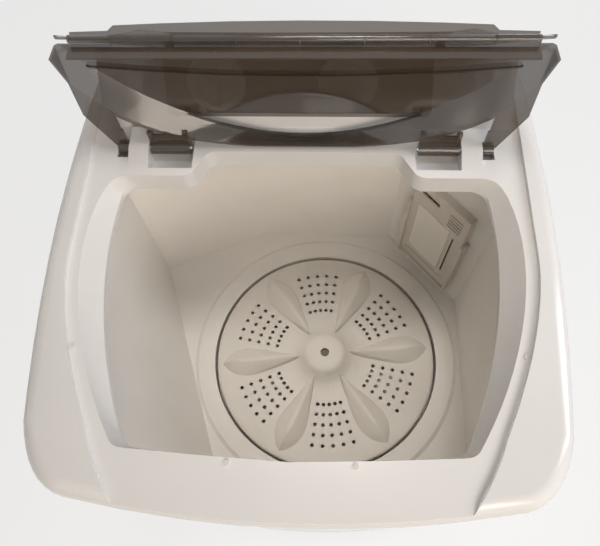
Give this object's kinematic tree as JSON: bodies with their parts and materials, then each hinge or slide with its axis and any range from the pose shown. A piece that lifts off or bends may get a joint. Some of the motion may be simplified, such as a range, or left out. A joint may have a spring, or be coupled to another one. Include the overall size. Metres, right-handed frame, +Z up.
{
  "type": "semi-automatic washing machine",
  "caption": "Top-loading washing machine with a sloping-floor tub, a perforated pulsator, a lint filter and a smoked lid that folds in two.",
  "frame": {"origin": "on the floor, under the middle of the machine as it stands with its lid open and folded back", "axes": "+Z up, +Y to the back, where the lid is hinged, +X to the right as seen from the front"},
  "size_m": [0.56, 0.6002, 0.9512],
  "materials": {
    "white_shell": "moulded gloss",
    "tub_white": "moulded satin",
    "smoked": "clear smoked moulding",
    "fascia_grey": "satin film",
    "rubber": "matt",
    "steel": "zinc plated",
    "cast": "die cast",
    "dark_plastic": "moulded"
  },
  "bodies": {
    "machine": {"base_frame": "white_shell", "cabinet": "white_shell", "rear_cover": "white_shell", "rear_cover_screws": "steel", "feet": "rubber", "top_deck": "white_shell", "deck_screws": "steel", "wash_tub": "tub_white", "tub_seal": "rubber", "drive_plate": "steel", "plate_bolts": "steel", "bearing_housing": "cast", "housing_bolts": "steel", "upper_bearing": "steel", "lower_bearing": "steel", "shaft_seal": "rubber", "motor": "steel", "motor_grommets": "rubber", "motor_bolts": "steel", "capacitor": "dark_plastic", "capacitor_clip": "steel", "drive_belt": "rubber", "sump_elbow": "rubber", "drain_pipe": "rubber", "outlet_stub": "rubber", "cord_gland": "rubber", "duct_cover": "white_shell", "filter_rails": "tub_white", "pod_housing": "white_shell", "pod_fascia": "fascia_grey", "pod_screws": "steel", "timer_body": "dark_plastic", "selector_body": "dark_plastic", "hinge_pins": "steel", "deck_buffers": "rubber", "pod_buffers": "rubber"},
    "agitator": {"pulsator": "tub_white", "pulsator_shaft": "steel", "pulsator_screw": "steel", "driven_pulley": "cast", "pulley_nut": "steel"},
    "rotor": {"motor_shaft": "steel", "motor_pulley": "cast", "pulley_set_screw": "steel"},
    "filter": {"filter_frame": "tub_white", "filter_mesh": "tub_white", "filter_plate": "tub_white"},
    "timer": {"timer_knob": "white_shell", "timer_spindle": "steel"},
    "selector": {"selector_knob": "white_shell", "selector_spindle": "steel"},
    "lid_back_half": {"lid_rear": "smoked", "fold_wire": "steel"},
    "lid_front_half": {"lid_front": "smoked"}
  },
  "joints": [
    {"name": "pulsator_spin", "type": "hinge", "parent": "machine", "child": "agitator", "pos_m": [0.029, -0.034, 0.443], "axis": [0, 0, 1], "continuous": true},
    {"name": "motor_spin", "type": "hinge", "parent": "machine", "child": "rotor", "pos_m": [0.029, 0.136, 0.239], "axis": [0, 0, 1], "continuous": true},
    {"name": "filter_lift", "type": "slide", "parent": "machine", "child": "filter", "axis": [0, 0, 1], "range_m": [0, 0.03]},
    {"name": "timer_turn", "type": "hinge", "parent": "machine", "child": "timer", "pos_m": [-0.1, 0.16535, 0.85309], "axis": [0, -0.9154, 0.4026], "range_deg": [-330, 0]},
    {"name": "selector_turn", "type": "hinge", "parent": "machine", "child": "selector", "pos_m": [0.05, 0.16535, 0.85309], "axis": [0, -0.9154, 0.4026], "range_deg": [-60, 60]},
    {"name": "lid_hinge", "type": "hinge", "parent": "machine", "child": "lid_back_half", "pos_m": [0, 0.111, 0.802], "axis": [1, 0, 0], "range_deg": [0, 91]},
    {"name": "fold_hinge", "type": "hinge", "parent": "lid_back_half", "child": "lid_front_half", "pos_m": [0, 0.13548, 0.94359], "axis": [1, 0, 0], "range_deg": [0, 136]}
  ],
  "couplings": [
    {"joint": "motor_spin", "follows": "pulsator_spin", "ratio": 5.7826}
  ]
}
